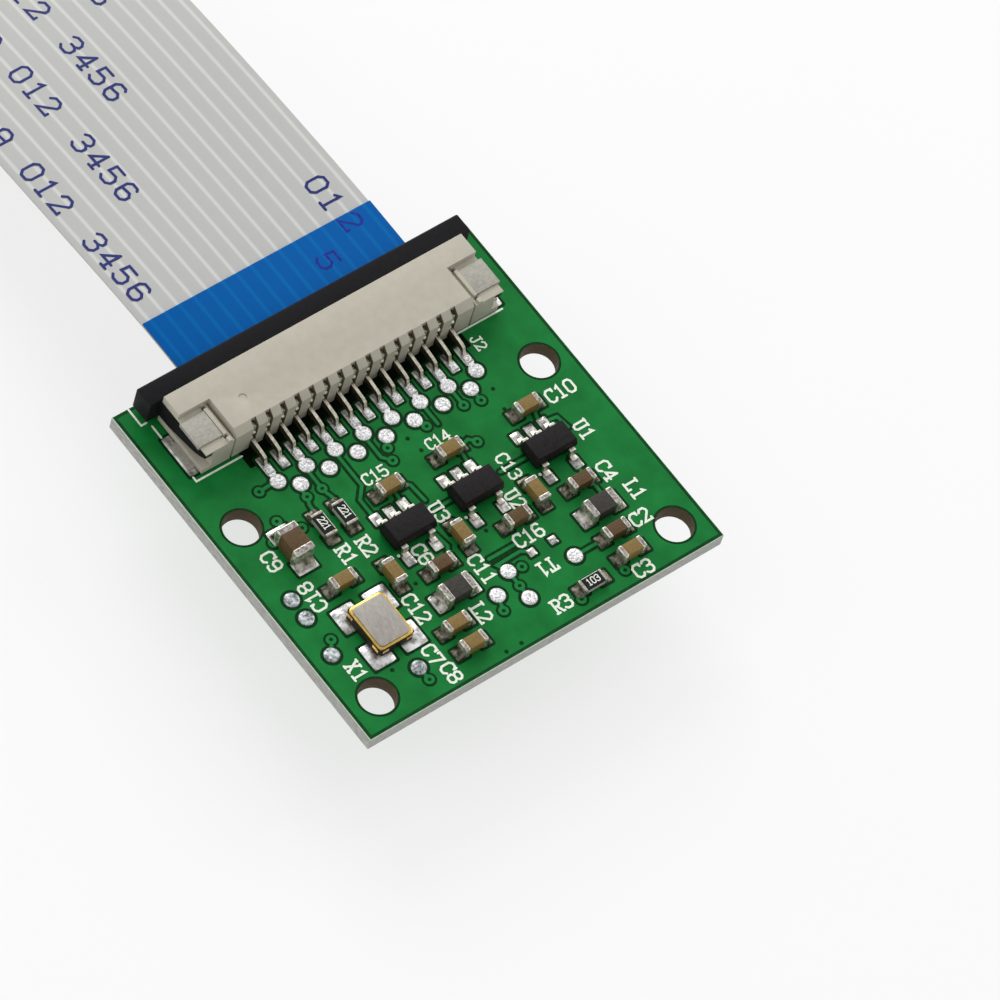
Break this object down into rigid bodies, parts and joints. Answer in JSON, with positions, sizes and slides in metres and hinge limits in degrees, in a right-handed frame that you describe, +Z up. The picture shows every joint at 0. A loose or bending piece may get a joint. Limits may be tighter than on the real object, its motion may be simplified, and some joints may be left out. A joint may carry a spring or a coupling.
{
  "type": "camera module",
  "caption": "Small camera board lying on its lens, with chip parts, a flat cable connector with a sliding lock, and a plugged-in flat flexible cable.",
  "frame": {"origin": "below the middle of the board, level with the front rim of the lens that the module lies on; measured without the flat cable", "axes": "+Z up from the lens side to the component side, +X along the cable connector, +Y the way the flat cable leaves"},
  "size_m": [0.025, 0.1687, 0.0091],
  "materials": {
    "board_green": "glossy green solder mask over a glass-fibre board",
    "tinned_lands": "bright uneven solder",
    "ivory_moulding": "matt ivory moulded plastic",
    "black_slider": "matt black moulded plastic",
    "tinned_contacts": "tinned stamped sheet",
    "nail_metal": "dull tinned sheet",
    "white_film": "satin white film over flat conductors",
    "blue_stiffener": "satin blue film",
    "chip_moulding": "matt dark moulding compound",
    "tinned_leads": "tinned leads",
    "dark_ceramic": "dark ceramic",
    "gold_ring": "gold plating",
    "lid_metal": "rolled nickel lid",
    "ferrite": "dark ferrite with tinned end caps",
    "tan_ceramic": "tan ceramic with tinned end caps",
    "resistor_black": "black overglaze with tinned end caps",
    "dark_foam": "closed-cell foam tape",
    "amber_board": "amber rigid flex",
    "sensor_die": "bare silicon",
    "filter_glass": "coated glass",
    "holder_black": "fine matt black moulding",
    "barrel_black": "satin black moulding",
    "lens_glass": "coated clear lens",
    "amber_flex": "amber film",
    "plug_black": "black moulding",
    "socket_cream": "cream moulding",
    "clear_red": "clear resin over a pale base"
  },
  "bodies": {
    "module": {"circuit_board": "board_green", "component_lands": "tinned_lands", "test_pads": "tinned_lands", "connector_housing": "ivory_moulding", "connector_contacts": "tinned_contacts", "connector_nails": "nail_metal", "flat_cable": "white_film", "cable_stiffener_near": "blue_stiffener", "cable_stiffener_far": "blue_stiffener", "cable_conductors_near": "tinned_contacts", "cable_conductors_far": "tinned_contacts", "regulator_1_body": "chip_moulding", "regulator_1_leads": "tinned_leads", "regulator_2_body": "chip_moulding", "regulator_2_leads": "tinned_leads", "regulator_3_body": "chip_moulding", "regulator_3_leads": "tinned_leads", "crystal_base": "dark_ceramic", "crystal_ring": "gold_ring", "crystal_lid": "lid_metal", "inductor_1": "ferrite", "inductor_2": "ferrite", "capacitor_1": "tan_ceramic", "capacitor_2": "tan_ceramic", "capacitor_3": "tan_ceramic", "capacitor_4": "tan_ceramic", "capacitor_5": "tan_ceramic", "capacitor_6": "tan_ceramic", "capacitor_7": "tan_ceramic", "capacitor_8": "tan_ceramic", "capacitor_9": "tan_ceramic", "capacitor_10": "tan_ceramic", "capacitor_11": "tan_ceramic", "capacitor_12": "tan_ceramic", "capacitor_13": "tan_ceramic", "capacitor_14": "tan_ceramic", "large_capacitor": "tan_ceramic", "resistor_1": "resistor_black", "resistor_2": "resistor_black", "resistor_3": "resistor_black", "foam_pad": "dark_foam", "sensor_board": "amber_board", "image_sensor": "sensor_die", "infrared_filter": "filter_glass", "lens_holder": "holder_black", "lens_barrel": "barrel_black", "lens_front": "lens_glass", "lens_middle": "lens_glass", "lens_rear": "lens_glass", "camera_flex": "amber_flex", "flex_plug": "plug_black", "flex_socket": "socket_cream", "indicator_light": "clear_red", "indicator_resistor": "resistor_black"},
    "slider": {"connector_slider": "black_slider"}
  },
  "joints": [
    {"name": "slider_release", "type": "slide", "parent": "module", "child": "slider", "axis": [0, 1, 0], "range_m": [0, 0.0012]}
  ]
}
